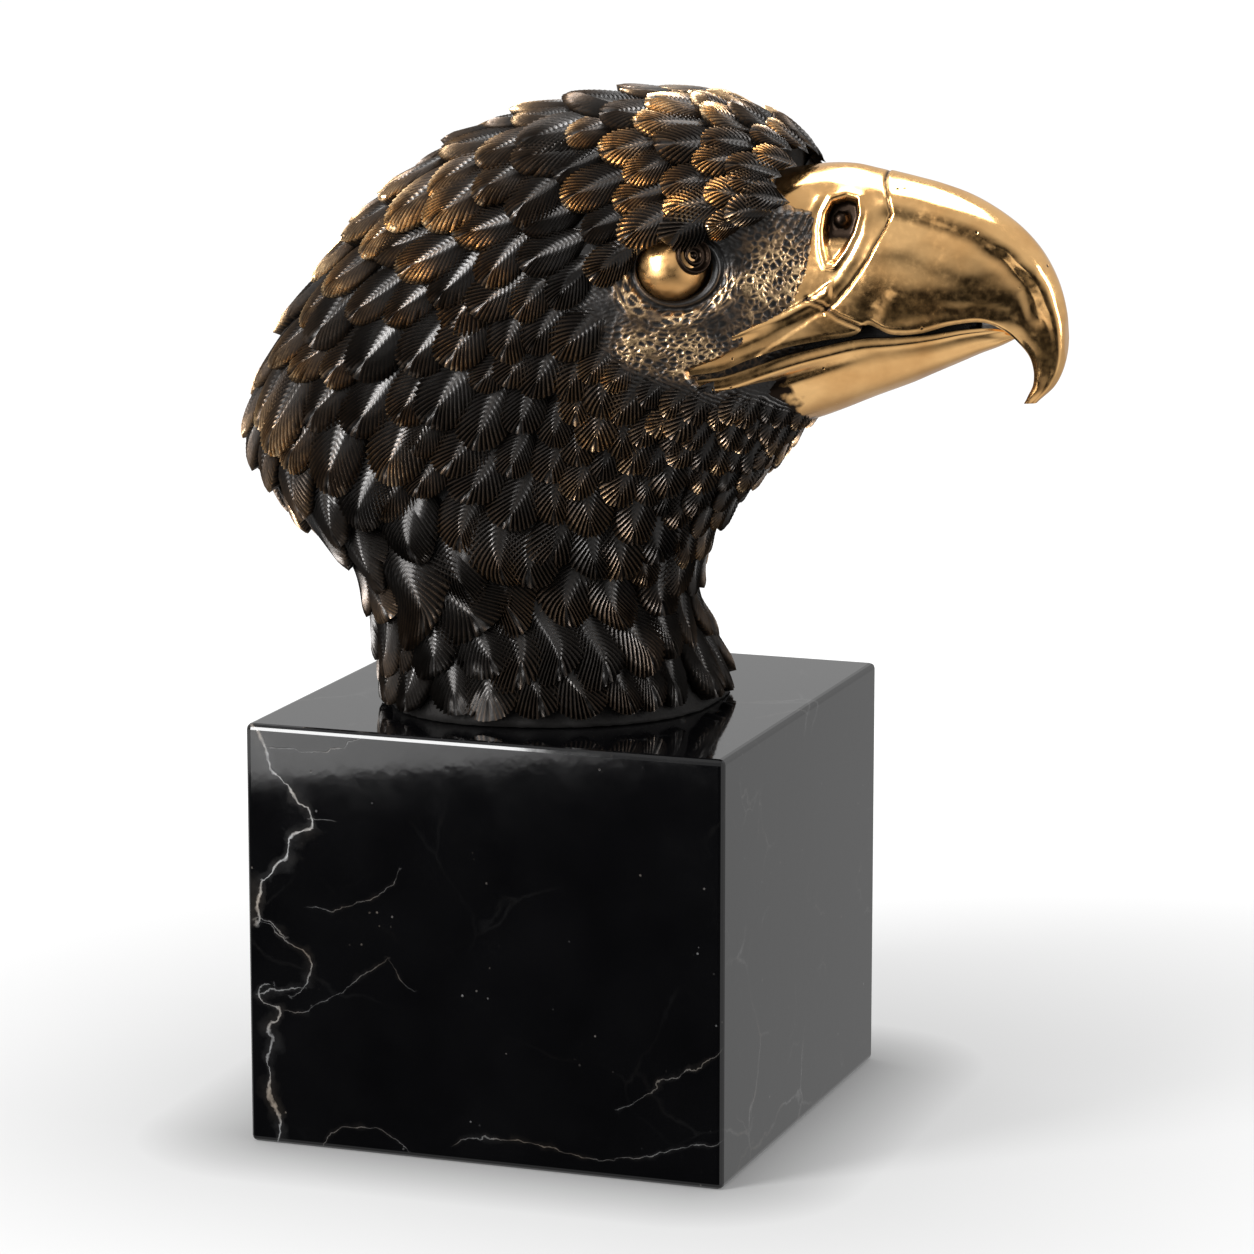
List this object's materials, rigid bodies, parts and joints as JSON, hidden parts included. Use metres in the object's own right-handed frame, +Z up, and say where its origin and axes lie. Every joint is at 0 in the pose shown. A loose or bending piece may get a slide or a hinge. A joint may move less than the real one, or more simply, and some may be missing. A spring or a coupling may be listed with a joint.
{
  "type": "eagle head bust",
  "caption": "Bust of an eagle's head and neck with a hooked beak, cast in patinated bronze and set on a square block of black marble",
  "frame": {"origin": "middle of the plinth's underside", "axes": "+Z up; +X is the way the beak points; +Y is the bird's left"},
  "size_m": [0.2286, 0.135, 0.283],
  "materials": {
    "patinated_bronze": "cast bronze with a dark brown patina, rubbed golden on the raised edges and polished on the beak and eyes",
    "black_marble": "polished black marble with fine white veins"
  },
  "bodies": {
    "root": {"eagle_bust": "patinated_bronze", "marble_plinth": "black_marble"}
  },
  "joints": []
}
